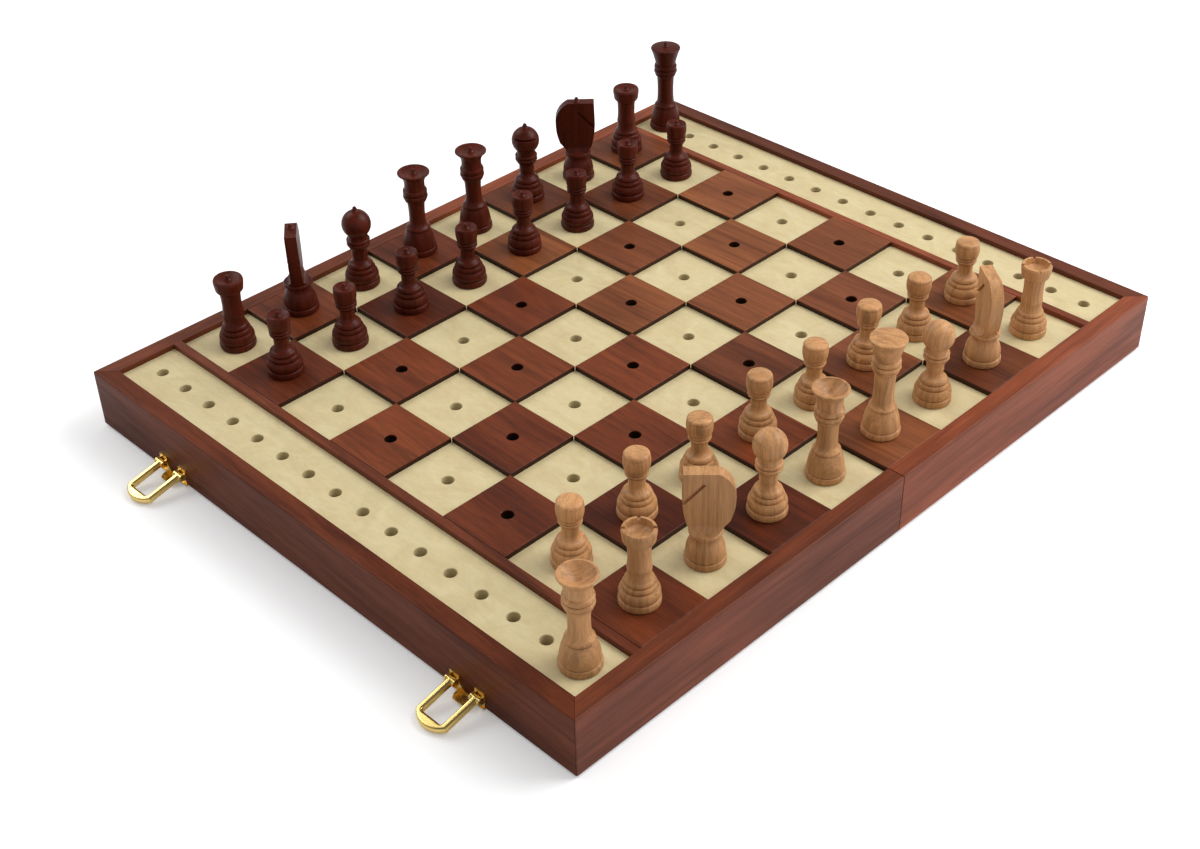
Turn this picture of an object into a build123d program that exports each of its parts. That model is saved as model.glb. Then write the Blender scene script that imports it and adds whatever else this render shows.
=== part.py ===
"""Folding tactile chess set: a pegged wooden board in two hinged halves, with 34 pegged pieces.

Frame: the origin is the middle of the open board, level with the undersides of its rails.
+X runs from the clasp end to the catch end, +Y from the light pieces' side to the dark
pieces' side, and +Z up. Everything is in millimetres. The board lies open and flat.
"""
from build123d import *
from math import asin, cos, degrees, radians, sin, sqrt
import os

# Board
square = 37.0               # pitch of the squares
files_per_half = 4
ranks = 8
rim_width = 8.4             # thickness of the rails, and so the width of the rims
rail_height = 28.6
slat_width = 4.4            # dark slat between the squares and the spare strip
strip_width = 29.6          # pale strip with the spare holes
recess_depth = 2.5          # pale squares and strips lie this far below the rims
panel_thickness = 5.5
groove_depth = 3.0          # the panel's edges stand in grooves in the rails
panel_slack = 0.2           # room for the panel's edges in those grooves
seam_gap = 0.5              # between the two open halves
tile_gap = 0.2              # between neighbouring dark tiles
rail_round = 0.7            # rounding of the outer top edges and corners
trim_chamfer = 0.3          # broken edges of the tiles and slats

# Peg holes
hole_diameter = 5.5
hole_clearance = 0.1        # radial room for a peg in its hole
strip_pitch = 18.1
strip_holes = 16
hole_chamfer = 0.25

# Fold hinges, two butt hinges let into the middle rails from below
fold_gap = 0.3              # between the rails of the shut box
hinge_spacing = 200.0
hinge_length = 30.0
leaf_width = 7.2
leaf_thickness = 1.0
knuckle_radius = 1.3
knuckle_gap = 0.2
hinge_pin_radius = 0.65
running_clearance = 0.05
hinge_relief = 0.35         # room in the wood round the knuckles
screw_head_radius = 1.7
screw_shank_radius = 0.8
screw_length = 9.0
screw_spacing = 20.0
screw_slot = 0.45

# Loop clasps on the left end rail
clasp_spacing = 196.0
brass = 0.7                 # thickness of the sheet
plate_width = 19.6
plate_height = 8.2
notch_width = 8.8           # the plate is cut away between its two ears
notch_floor = 1.4
lug_radius = 1.6
lug_width = 0.9
pivot_height = 5.0
trunnion_radius = 0.9
wire_radius = 1.55
wire_spacing = 14.2         # middle to middle of the loop's legs
wire_side_gap = 0.2
loop_reach = 18.6           # from the pivot to the middle of the crossbar
bar_depth = 4.6             # of the crossbar at its fullest
bar_bulge = 4.1             # of its outer edge
window_corner = 0.9
wire_softness = 0.75        # share of the wire's radius that rounds its edges
flange_reach = 1.2
tongue_reach = 5.5
tongue_root = 11.0
tongue_tip = 6.6
nail_head_radius = 0.95
nail_shank_radius = 0.5
nail_length = 7.0
nail_height = 2.1
floor_gap = 0.1             # the loops' bars stop this far above what the board lies on

# Catches on the right end rail
loop_closed_angle = 80.0    # of a shut loop below the horizontal
catch_seat = 0.1            # between a shut loop's bar and the catch's hook
catch_plate_height = 8.0
hook_width = 9.0
hook_curl = 1.5

# Feet of the pieces
foot_radius = 8.45
foot_edge = 0.7
foot_disc = 3.2
foot_groove = 0.45
body_height = 4.6
body_top_radius = 7.3
body_swell = 0.5
step_height = 2.3
step_radius = 7.1
ring_height = 2.2
ring_radius = 6.3
ring_top_radius = 5.6
ring_swell = 0.25           # of the rings and collars
ring_groove = 0.5           # between them
peg_length = 7.5
peg_chamfer = 0.5

# Pawns
pawn_height = 31.2
dark_pawn_height = 30.4
pawn_stem = 3.5
pawn_collar = 5.0
pawn_collar_level = 21.4
pawn_head = 5.7
dark_pawn_head = 5.25

# Rooks
rook_height = 36.0
rook_stem = 4.5
rook_head = 6.9
rook_head_height = 6.6
rook_cup_radius = 5.4
rook_cup_depth = 3.6
rook_notch_width = 1.3
rook_notch_depth = 1.2

# Knights
knight_height = 43.9
knight_body_height = 7.4
knight_body_top_radius = 6.5
knight_waist = 5.8
knight_neck = 6.9
knight_neck_level = 15.0
slab_thickness = 5.6
slab_front = 9.4            # from the axis to the straight, face side
slab_back = 11.2            # from the axis to the curved, mane side
jaw_rise = 15.6             # from the slab's foot to where its sides are straight
cheek_rise = 4.4            # from the slab's foot to where its faces are flat
mane_cut = 6.6
mane_drop = 12.0
mouth_width = 1.5
mouth_depth = 1.2
mouth_reach = 0.8           # from the axis to the mouth's inner end
mouth_drop = 15.6           # of its open end below the top
mouth_rise = 4.8            # of its inner end below the top

# Bishops
bishop_height = 40.3
bishop_stem = 3.9
bishop_collar = 5.7
bishop_collar_level = 23.8
bishop_neck = 4.85
bishop_head = 7.1
slit_width = 0.9
slit_depth = 2.6
slit_drop = 4.6             # below the top of the head

# Queens and kings
bell_disc = 3.2
bell_radius = 8.1
bell_top_radius = 6.1
bell_height = 9.4
bell_ring_height = 1.2
queen_height = 44.1
queen_stem = 4.3
queen_collar = 6.3
queen_collar_level = 32.2
queen_neck = 5.5
collar_step = 2.4
crown_radius = 7.8
crown_height = 6.2
dish_depth = 4.6
king_height = 48.1
king_stem = 4.4
king_collar_level = 35.2

# Points in the tops of the dark pieces, which are dished round them
dark_dish = 0.9
point_radius = 2.0
point_tip_radius = 1.0
point_height = 2.5
point_shank_radius = 0.5
point_shank_length = 4.0
point_clearance = 0.03

# Places that follow from the sizes above
half_length = files_per_half * square + slat_width + strip_width + rim_width
half_width = ranks / 2 * square + rim_width
seam = seam_gap / 2
inner_length = half_length - rim_width
inner_width = half_width - rim_width
panel_top = rail_height - recess_depth
panel_bottom = panel_top - panel_thickness
hole_radius = hole_diameter / 2
peg_radius = hole_radius - hole_clearance
squares_edge = files_per_half * square
strip_middle = squares_edge + slat_width + strip_width / 2
fold_axis_height = -fold_gap / 2
lowest = fold_axis_height - knuckle_radius
relief_radius = knuckle_radius + hinge_relief
pivot_reach = brass + wire_radius + wire_side_gap
loop_end = loop_reach + bar_depth / 2
rest_angle = degrees(asin((pivot_height - lowest - floor_gap - wire_radius) / loop_end))
foot_top = foot_disc + body_height + step_height + ring_height

os.makedirs("parts", exist_ok=True)


def save(name, solids):
    """Writes one node, made of one solid or of several separate ones."""
    solids = solids if isinstance(solids, list) else [solids]
    bodies = [body for shape in solids for body in shape.solids()]
    export_step(bodies[0] if len(bodies) == 1 else Compound(children=bodies), f"parts/{name}.step")


def block(low, high):
    """A box between two opposite corners."""
    size = [b - a for a, b in zip(low, high)]
    middle = [(a + b) / 2 for a, b in zip(low, high)]
    return Pos(*middle) * Box(*size)


def rod(radius, start, end):
    """A round bar between two points."""
    direction = Vector(*end) - Vector(*start)
    plane = Plane(origin=start, z_dir=direction)
    return plane * Cylinder(radius, direction.length, align=(Align.CENTER, Align.CENTER, Align.MIN))


def barrel(radius, low, high):
    """A round bar along the fold axis, between two places on Y."""
    return rod(radius, (0, low, fold_axis_height), (0, high, fold_axis_height))


def turned(outline):
    """Turns an outline about Z. Each point is a radius, a height and the bulge of the
    stretch that leads to it: 0 is straight, more is convex, less is hollow."""
    edges = []
    r0, z0 = outline[0][:2]
    for r1, z1, bulge in outline[1:]:
        if bulge:
            length = sqrt((r1 - r0) ** 2 + (z1 - z0) ** 2)
            across, up = bulge * (z1 - z0) / length, -bulge * (r1 - r0) / length
            through = ((r0 + r1) / 2 + across, 0, (z0 + z1) / 2 + up)
            edges.append(Edge.make_three_point_arc((r0, 0, z0), through, (r1, 0, z1)))
        else:
            edges.append(Edge.make_line((r0, 0, z0), (r1, 0, z1)))
        r0, z0 = r1, z1
    edges.append(Edge.make_line((r0, 0, z0), (outline[0][0], 0, outline[0][1])))
    return revolve(Face(Wire(edges)), Axis.Z, 360)


def outline_face(corners):
    """A face from its corners in order. A corner may carry a point that the edge to it bends through."""
    edges = []
    start = corners[-1][0]
    for end, through in corners:
        edges.append(Edge.make_three_point_arc(start, through, end) if through else Edge.make_line(start, end))
        start = end
    return Face(Wire(edges))


def tip(radius, low, high, flat=0.0):
    """The end of an outline: a dome or a hollow, level at the axis or cut to a flat round it."""
    up = 1 if high > low else -1
    sphere = (radius ** 2 + (high - low) ** 2) / (2 * abs(high - low))
    level = high - up * (sphere - sqrt(sphere ** 2 - flat ** 2))
    chord = sqrt((radius - flat) ** 2 + (level - low) ** 2)
    bulge = up * (sphere - sqrt(sphere ** 2 - chord ** 2 / 4))
    return [(flat, level, bulge), (0, level, 0)] if flat else [(0, level, bulge)]


def ring(radius, low, high, top_radius=None):
    """Three points of a raised ring with a groove under it. It can be narrower at its top."""
    edge = radius - ring_swell
    top = (top_radius or radius) - ring_swell
    return [(edge - ring_groove, low, 0), (edge, low + 0.35, 0), (top, high, ring_swell)]


# Board


def square_middle(file, rank):
    """The middle of a square, with files and ranks counted from 0."""
    return (file - files_per_half + 0.5) * square, (rank - ranks / 2 + 0.5) * square


def is_dark(file, rank):
    return (file + rank) % 2 == 0


def strip_hole(side, number):
    """A spare hole's place, numbered from the dark pieces' side."""
    return side * strip_middle, ((strip_holes - 1) / 2 - number) * strip_pitch


def board_block(side):
    """One half's outer block, with its outer top edges and corners rounded."""
    outer = block((-half_length, -half_width, 0), (-seam, half_width, rail_height))
    corners = outer.edges().filter_by(Axis.Z).group_by(Axis.X)[0]
    top = outer.edges().group_by(Axis.Z)[-1]
    top_end = top.filter_by(Axis.Y).sort_by(Axis.X)[0]
    top_sides = top.filter_by(Axis.X)
    outer = fillet([*corners, top_end, *top_sides], min(rail_round, rim_width / 3))
    return outer if side < 0 else mirror(outer, about=Plane.YZ)


def prism(side, points):
    """A full-height prism over a plan outline that is given for the left half."""
    outline = Polyline(*[(-side * x, y) for x, y in points], close=True)
    return extrude(make_face(outline), amount=rail_height, dir=(0, 0, 1))


def panel_groove(side):
    """The space that the panel's edges take up inside the rails."""
    reach_x = inner_length + groove_depth
    reach_y = inner_width + groove_depth
    ends = sorted((side * reach_x, 0))
    return block((ends[0], -reach_y, panel_bottom), (ends[1], reach_y, panel_top))


def side_rail(side, y_side):
    """A long rail: mitred at the outer corner and square at the fold."""
    y_out, y_in = y_side * half_width, y_side * inner_width
    plan = [(-half_length, y_out), (-seam, y_out), (-seam, y_in), (-inner_length, y_in)]
    return board_block(side) & prism(side, plan) - panel_groove(side)


def end_rail(side):
    """The short outer rail, mitred at both ends, with holes for the clasp or catch nails."""
    plan = [(-half_length, -half_width), (-inner_length, -inner_width)]
    plan += [(-inner_length, inner_width), (-half_length, half_width)]
    rail = board_block(side) & prism(side, plan) - panel_groove(side)
    radius = nail_shank_radius + point_clearance
    for y, z in nail_places(side):
        wall = side * half_length
        rail -= rod(radius, (wall, y, z), (wall - side * (nail_length - brass), y, z))
    return rail


def middle_rail(side):
    """The rail at the fold, under the panel, let in for the hinge leaves."""
    ends = sorted((side * seam, side * (seam + rim_width)))
    rail = block((ends[0], -inner_width, 0), (ends[1], inner_width, panel_bottom))
    for y in hinge_places():
        half = hinge_length / 2
        leaf = sorted((0, side * leaf_width))
        rail -= block((leaf[0], y - half, 0), (leaf[1], y + half, leaf_thickness))
        end = half + knuckle_gap + hinge_relief
        rail -= barrel(relief_radius, y - end, y + end)
        for x, screw_y in hinge_screw_places(side, y):
            radius = screw_shank_radius + running_clearance
            rail -= rod(radius, (x, screw_y, 0), (x, screw_y, screw_length + running_clearance))
    return rail


def panel(side):
    """The pale panel with a hole in each square and a row of holes in its strip."""
    reach_x = inner_length + groove_depth - panel_slack
    reach_y = inner_width + groove_depth - panel_slack
    ends = sorted((side * reach_x, side * seam))
    board = block((ends[0], -reach_y, panel_bottom), (ends[1], reach_y, panel_top))
    places = [(x, y, is_dark(file, rank)) for x, y, file, rank in half_squares(side)]
    places += [(*strip_hole(side, number), False) for number in range(strip_holes)]
    cuts = []
    for x, y, covered in places:
        cuts.append(rod(hole_radius, (x, y, panel_bottom), (x, y, panel_top)))
        if not covered:
            cuts.append(Pos(x, y, panel_top - hole_chamfer / 2) * hole_mouth())
    return board - cuts


def hole_mouth():
    """The small chamfer at the top of a hole."""
    return Cone(hole_radius, hole_radius + hole_chamfer, hole_chamfer)


def half_squares(side):
    first = 0 if side < 0 else files_per_half
    for file in range(first, first + files_per_half):
        for rank in range(ranks):
            yield (*square_middle(file, rank), file, rank)


def dark_squares(side):
    """The raised dark tiles, flush with the rims."""
    width = square - tile_gap
    tile = Pos(0, 0, recess_depth / 2) * Box(width, width, recess_depth)
    tile = chamfer(tile.edges().group_by(Axis.Z)[-1], trim_chamfer)
    tile -= rod(hole_radius, (0, 0, 0), (0, 0, recess_depth))
    tile -= Pos(0, 0, recess_depth - hole_chamfer / 2) * hole_mouth()
    return [Pos(x, y, panel_top) * tile for x, y, file, rank in half_squares(side) if is_dark(file, rank)]


def divider_slat(side):
    """The dark slat that parts the squares from the spare strip."""
    slat = Box(slat_width, 2 * inner_width, recess_depth)
    long_edges = slat.edges().group_by(Axis.Z)[-1].filter_by(Axis.Y)
    slat = chamfer(long_edges, trim_chamfer)
    return Pos(side * (squares_edge + slat_width / 2), 0, panel_top + recess_depth / 2) * slat


# Fold hinges


def hinge_places():
    return (-hinge_spacing / 2, hinge_spacing / 2)


def hinge_screw_places(side, y):
    """The two screws of one leaf."""
    x = side * (leaf_width + relief_radius) / 2
    return [(x, y - screw_spacing / 2), (x, y + screw_spacing / 2)]


def screw_shape(extra=0.0):
    """A countersunk screw standing head down at the origin, or its hole if it has extra room."""
    head = screw_head_radius + extra
    shank = screw_shank_radius + extra
    taper = screw_length - screw_shank_radius * 2
    outline = [(0, 0, 0), (head, 0, 0), (shank, head - shank, 0), (shank, taper, 0), (0, screw_length, 0)]
    return turned(outline)


def knuckle_spans(side):
    """The lengths of the barrel that belong to one leaf: the ends are the left half's."""
    third = hinge_length / 3
    half = hinge_length / 2
    if side > 0:
        return [(-third / 2 + knuckle_gap, third / 2 - knuckle_gap)]
    return [(-half, -third / 2), (third / 2, half)]


def hinge_leaf(side, y):
    """One leaf with its knuckles and countersunk screw holes."""
    half = hinge_length / 2
    ends = sorted((0, side * leaf_width))
    leaf = block((ends[0], y - half, 0), (ends[1], y + half, leaf_thickness))
    for low, high in knuckle_spans(-side):
        leaf -= barrel(relief_radius, y + low - knuckle_gap, y + high + knuckle_gap)
    for low, high in knuckle_spans(side):
        leaf += barrel(knuckle_radius, y + low, y + high)
    leaf -= barrel(hinge_pin_radius + running_clearance, y - half, y + half)
    for x, screw_y in hinge_screw_places(side, y):
        leaf -= Pos(x, screw_y, 0) * screw_shape(running_clearance)
    return leaf


def hinge_pin(y):
    """The pin, with a thin peened head at each end of the barrel."""
    half = hinge_length / 2
    head = knuckle_gap
    pin = barrel(hinge_pin_radius, y - half - head, y + half + head)
    pin += barrel(hinge_pin_radius * 1.5, y - half - head, y - half)
    return pin + barrel(hinge_pin_radius * 1.5, y + half, y + half + head)


def hinge_screws(side):
    """The slotted screws of both hinges on one half."""
    slot = Box(screw_head_radius * 3, screw_slot, screw_slot)
    screw = screw_shape() - slot
    return [Pos(x, y, 0) * screw for place in hinge_places() for x, y in hinge_screw_places(side, place)]


# Clasps and catches


def clasp_places():
    return (-clasp_spacing / 2, clasp_spacing / 2)


def nail_offsets():
    """From the middle of a plate to its nails, level with the loop's legs."""
    return (-wire_spacing / 2, wire_spacing / 2)


def catch_hook_height():
    """The hook's far face on the open right half, where a shut loop's bar rests on it."""
    shut = radians(loop_closed_angle)
    window = loop_reach - bar_depth / 2
    bar = pivot_height - window * sin(shut) + wire_radius * cos(shut) + catch_seat
    return -fold_gap - bar


def nail_places(side):
    z = nail_height if side < 0 else catch_hook_height() - catch_plate_height / 2
    return [(y + offset, z) for y in clasp_places() for offset in nail_offsets()]


def nail_shape(extra=0.0):
    """A flush nail along X with its head at the origin, or its hole if it has extra room."""
    head, shank = nail_head_radius + extra, nail_shank_radius + extra
    taper = nail_length - 2 * nail_shank_radius
    outline = [(0, 0, 0), (head, 0, 0), (shank, head - shank, 0), (shank, taper, 0), (0, nail_length, 0)]
    return Rot(0, 90, 0) * turned(outline)


def wall_nails(side):
    """The nails of both plates on one end rail, flush with the sheet."""
    face = half_length + brass
    nail = nail_shape() if side < 0 else mirror(nail_shape(), about=Plane.YZ)
    return [Pos(side * face, y, z) * nail for y, z in nail_places(side)]


def clasp_plate(y):
    """A nailed brass plate with two ears for the loop and a lip along its bottom edge."""
    wall = -half_length
    half = plate_width / 2
    plate = block((wall - brass, y - half, 0), (wall, y + half, plate_height))
    notch = notch_width / 2
    plate -= block((wall - brass, y - notch, notch_floor + notch), (wall, y + notch, plate_height))
    plate -= rod(notch, (wall - brass, y, notch_floor + notch), (wall, y, notch_floor + notch))
    plate += block((wall - flange_reach, y - half, 0), (wall, y + half, brass))
    tip_x, shoulder_x = wall - tongue_reach, wall - tongue_reach * 0.7
    edge = [(wall, tongue_root / 2), (shoulder_x, tongue_root * 0.42), (tip_x, tongue_tip / 2)]
    plan = [(x, y + reach) for x, reach in edge] + [(x, y - reach) for x, reach in reversed(edge)]
    plate += extrude(make_face(Polyline(*plan, close=True)), amount=brass, dir=(0, 0, 1))
    pivot = wall - pivot_reach
    slot = wire_radius + wire_side_gap
    for offset in nail_offsets():
        for low in (-slot - lug_width, slot):
            y_low, y_high = y + offset + low, y + offset + low + lug_width
            lug = rod(lug_radius, (pivot, y_low, pivot_height), (pivot, y_high, pivot_height))
            lug += block((pivot, y_low, pivot_height - lug_radius), (wall, y_high, pivot_height + lug_radius))
            plate += lug
        reach = slot + lug_width
        bore = trunnion_radius + running_clearance
        plate -= rod(bore, (pivot, y + offset - reach, pivot_height), (pivot, y + offset + reach, pivot_height))
        plate -= Pos(wall - brass, y + offset, nail_height) * nail_shape(point_clearance)
    return plate


def clasp_loop(y):
    """A thick wire loop with a bulging crossbar, hinged on its trunnions and lying on the table."""
    leg = wire_spacing / 2
    outer, inner = leg + wire_radius, leg - wire_radius
    shoulder, window = loop_end - bar_bulge, loop_reach - bar_depth / 2
    plan = outline_face([
        ((0, outer, 0), None), ((-shoulder, outer, 0), None),
        ((-shoulder, -outer, 0), (-loop_end, 0, 0)),
        ((0, -outer, 0), None), ((0, -inner, 0), None), ((-window, -inner, 0), None),
        ((-window, inner, 0), None), ((0, inner, 0), None),
    ])
    loop = extrude(plan, amount=wire_radius, dir=(0, 0, 1), both=True)
    upright = loop.edges().filter_by(Axis.Z)
    corners = [edge for edge in upright if abs(edge.center().X + window) < 0.1 and abs(edge.center().Y) < leg]
    loop = fillet(corners, window_corner)
    faces_edges = [edge for edge in loop.edges() if abs(edge.center().Z) > wire_radius / 2]
    rounded = [edge for edge in faces_edges if edge.center().X < -0.1]
    loop = fillet(rounded, wire_radius * wire_softness)
    reach = wire_radius + wire_side_gap + lug_width
    for middle in (-leg, leg):
        loop += rod(wire_radius, (0, middle - wire_radius, 0), (0, middle + wire_radius, 0))
        loop += rod(trunnion_radius, (0, middle - reach, 0), (0, middle + reach, 0))
    return Pos(-half_length - pivot_reach, y, pivot_height) * (Rot(0, -rest_angle, 0) * loop)


def catch_plate(y):
    """A nailed brass plate whose hook holds the shut loop's crossbar."""
    wall = half_length
    half = plate_width / 2
    top = catch_hook_height()
    plate = block((wall, y - half, top - catch_plate_height), (wall + brass, y + half, top))
    shut = radians(loop_closed_angle)
    reach = pivot_reach + loop_reach * cos(shut) + wire_radius + catch_seat + brass
    low, high = y - hook_width / 2, y + hook_width / 2
    plate += block((wall, low, top - brass), (wall + reach, high, top))
    plate += block((wall + reach - brass, low, top - brass), (wall + reach, high, top + hook_curl))
    for offset in nail_offsets():
        hole = mirror(nail_shape(point_clearance), about=Plane.YZ)
        plate -= Pos(wall + brass, y + offset, top - catch_plate_height / 2) * hole
    return plate


# Playing pieces, each standing on the origin with its peg below. An outline runs up the
# outside of a piece, and its last point, on the axis, is the level of the very top.


def ringed_foot(body=body_height, top_radius=body_top_radius):
    """Outline of a stepped foot: a disc, a groove and a swelling."""
    outline = [(0, 0, 0), (foot_radius - foot_edge, 0, 0), (foot_radius, foot_edge, 0.2)]
    outline += [(foot_radius - 0.05, foot_disc - foot_edge, 0.1), (foot_radius - foot_groove, foot_disc, 0.15)]
    outline += [(foot_radius - 2 * foot_groove, foot_disc + 0.15, 0)]
    outline += [(foot_radius - foot_groove, foot_disc + 0.6, 0.05)]
    return outline + [(top_radius, foot_disc + body, body_swell)]


def foot_rings():
    """Outline of the two rings on top of a stepped foot."""
    low = foot_disc + body_height + 0.15
    middle = low + step_height
    upper = ring(ring_radius, middle, foot_top, ring_top_radius)
    return ring(step_radius, low, middle - 0.15, ring_radius + 0.3) + upper


def bell_foot():
    """Outline of a bell-shaped foot with a lip below and a ring above."""
    top = bell_disc + bell_height
    outline = [(0, 0, 0), (foot_radius - foot_edge, 0, 0), (foot_radius + 0.1, foot_edge, 0.2)]
    outline += [(foot_radius, bell_disc - foot_edge, 0.1), (foot_radius - foot_groove, bell_disc, 0.15)]
    outline += [(bell_radius - foot_groove, bell_disc + 0.15, 0), (bell_radius, bell_disc + 0.55, 0.05)]
    outline += [(bell_top_radius, top, 0.35), (bell_top_radius - 0.4, top + 0.15, 0)]
    outline += [(bell_top_radius - 0.1, top + 0.4, 0)]
    outline += [(bell_top_radius - 0.4, top + 0.4 + bell_ring_height, 0.15)]
    return outline


def peg():
    """The peg under a foot, which stands in a hole of the board."""
    shape = Pos(0, 0, -peg_length / 2) * Cylinder(peg_radius, peg_length)
    return chamfer(shape.edges().group_by(Axis.Z)[0], peg_chamfer)


def seat(dark):
    """The flat in the top of a dark piece for its point."""
    return point_radius + point_clearance if dark else 0.0


def pawn(dark):
    level = pawn_collar_level
    outline = ringed_foot() + foot_rings()
    outline += [(pawn_stem, foot_top + 3.6, -0.7), (pawn_stem, level - 2.5, -0.05)]
    outline += [(pawn_collar - 0.6, level - 1.75, 0.1)]
    outline += ring(pawn_collar - 0.1, level - 1.6, level - 0.15) + ring(pawn_collar, level, level + 1.4)
    head = dark_pawn_head if dark else pawn_head
    outline += [(pawn_collar - 0.7, level + 1.6, 0), (head - 0.45, level + 2.0, 0)]
    if dark:
        top = dark_pawn_height
        rim = head - 0.7
        outline += [(head, top - 3.4, 0.15), (head - 0.1, top - 0.5, 0.1), (rim, top, 0.15)]
        return outline + tip(rim, top, top - dark_dish, seat(dark))
    top = pawn_height
    flat = head - 1.5
    outline += [(head, top - 4.4, 0.15), (head - 0.25, top - 2.2, 0.1), (flat, top - 0.45, 0.5)]
    return outline + tip(flat, top - 0.45, top)


def bishop(dark):
    level = bishop_collar_level
    outline = ringed_foot() + foot_rings()
    outline += [(bishop_stem, foot_top + 4.2, -0.9), (bishop_stem, level - 4.0, -0.05)]
    outline += [(bishop_collar - 0.6, level - 2.2, 0.1)]
    outline += ring(bishop_collar, level - 2.1, level - 0.2) + ring(bishop_collar, level, level + 1.5)
    outline += [(bishop_neck, level + 1.8, 0), (bishop_neck, level + 4.2, -0.1)]
    belly = bishop_height - bishop_head
    outline += [(bishop_head, belly, 0.6)]
    return outline + tip(bishop_head, belly, bishop_height, seat(dark))


def rook(dark):
    top = rook_height
    head = top - rook_head_height
    outline = ringed_foot() + foot_rings()
    outline += [(rook_stem + 0.45, foot_top + 5.0, -0.4), (rook_stem, foot_top + 9.5, -0.05)]
    outline += [(rook_stem + 0.35, head - 0.15, -0.1), (rook_stem + 0.6, head, 0)]
    outline += [(rook_head - 0.45, head + 1.9, 0.45), (rook_head, top - 1.4, 0.05)]
    outline += [(rook_head - 0.3, top - 0.3, 0.1), (rook_head - 0.6, top, 0.1), (rook_cup_radius, top, 0)]
    if dark:
        return outline + tip(rook_cup_radius, top, top - dark_dish, seat(dark))
    floor = top - rook_cup_depth
    corner = rook_cup_radius - 0.7
    return outline + [(corner, floor + 1.0, 0)] + tip(corner, floor + 1.0, floor)


def collars(stem, radius, level):
    """Outline of the collars of a queen or king: a flare off the stem and two rings that meet at a level."""
    low, high = level - collar_step, level + collar_step
    outline = [(stem + 0.3, low - 2.2, -0.1), (radius - 0.5, low - 0.15, 0.25)]
    outline += ring(radius, low, level - 0.15) + ring(radius - 0.1, level, high)
    return outline + [(radius - 1.0, high + 0.3, 0)]


def queen(dark):
    level, top = queen_collar_level, queen_height
    collar = queen_collar - (0.2 if dark else 0)
    stem = queen_stem - (0.3 if dark else 0)
    outline = bell_foot()
    base = outline[-1][1]
    outline += [(stem + 0.15, base + 3.2, -0.4), (stem, base + 6.5, -0.05)] + collars(stem, collar, level)
    outline += [(queen_neck - (0.5 if dark else 0), top - crown_height, -0.05)]
    outline += [(crown_radius, top - 0.9, -0.75), (crown_radius - 0.35, top, 0.3), (crown_radius - 0.9, top, 0)]
    if dark:
        return outline + tip(crown_radius - 0.9, top, top - dark_dish, seat(dark))
    bottom = top - dish_depth
    outline += [(crown_radius - 6.2, bottom + 0.3, -0.2)]
    return outline + tip(crown_radius - 6.2, bottom + 0.3, bottom)


def king(dark):
    top = king_height
    outline = bell_foot()
    base = outline[-1][1]
    outline += [(king_stem + 0.15, base + 3.4, -0.4), (king_stem, base + 7.5, -0.05)]
    outline += collars(king_stem, queen_collar, king_collar_level)
    lip = crown_radius - 0.2
    outline += [(crown_radius + 0.1, top - 1.4, -0.15), (lip, top - 0.4, 0.3)]
    return outline + tip(lip, top - 0.4, top, seat(dark))


def knight_neck_outline():
    """The turned part of a knight, up to the ring that carries its flat head."""
    level = knight_neck_level
    outline = ringed_foot(knight_body_height, knight_body_top_radius)
    outline += [(knight_waist, level - 1.9, -0.15)] + ring(knight_neck, level - 1.3, level + 0.6)
    return outline + [(knight_neck - 0.6, level + 0.8, 0), (0, level + 0.8, 0)]


def knight_head():
    """A slab planed from a turned blank: face side at +X, mane side at -X, and a cut for the mouth."""
    foot, top = knight_neck_level + 0.5, knight_height
    chin = knight_neck - 0.7
    half = slab_thickness / 2
    jaw, cheek = foot + jaw_rise, foot + cheek_rise
    nape = top - mane_drop
    side_view = outline_face([
        ((chin, 0, foot), None),
        ((slab_front, 0, jaw), (slab_front - 1.0, 0, foot + jaw_rise / 2)),
        ((slab_front - 0.3, 0, top), None),
        ((-slab_back + mane_cut, 0, top), None),
        ((-slab_back, 0, nape), (-slab_back + 0.3 * mane_cut, 0, top - mane_drop / 3)),
        ((-chin, 0, foot), (-slab_back + 1.3, 0, foot + jaw_rise / 2)),
    ])
    front_view = outline_face([
        ((0, chin, foot), None),
        ((0, half, cheek), (0, half + 0.6, foot + cheek_rise * 0.4)),
        ((0, half, top), None),
        ((0, -half, top), None),
        ((0, -half, cheek), None),
        ((0, -chin, foot), (0, -half - 0.6, foot + cheek_rise * 0.4)),
    ])
    blank_radius = slab_back + half
    blank = turned([
        (0, foot, 0), (chin, foot, 0), (chin + 2.4, cheek, -0.3), (blank_radius, jaw, 0.6),
        (blank_radius, top, 0), (0, top, 0),
    ])
    head = extrude(side_view, amount=blank_radius, dir=(0, 1, 0), both=True)
    head &= extrude(front_view, amount=blank_radius, dir=(1, 0, 0), both=True)
    head &= blank
    lip, corner = Vector(slab_front + 1.0, 0, top - mouth_drop), Vector(mouth_reach, 0, top - mouth_rise)
    run = corner - lip
    kerf = Box(run.length, mouth_depth * 2, mouth_width)
    slope = degrees(asin(run.Z / run.length))
    middle = (lip + corner) * 0.5
    for face_side in (-half, half):
        head -= Pos(middle.X, face_side, middle.Z) * (Rot(0, slope, 0) * kerf)
    return head


def rook_notches():
    """Four small cuts across the rim."""
    cut = Pos(rook_head, 0, rook_height) * Box(2 * rook_head, rook_notch_width, 2 * rook_notch_depth)
    return [Rot(0, 0, 45 + 90 * turn) * cut for turn in range(4)]


def bishop_slit():
    """A saw cut in the front of the head."""
    front = sqrt(bishop_head ** 2 - (bishop_head - slit_drop) ** 2)
    return Pos(front, 0, bishop_height - slit_drop) * Box(2 * slit_depth, 2 * bishop_head, slit_width)


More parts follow.
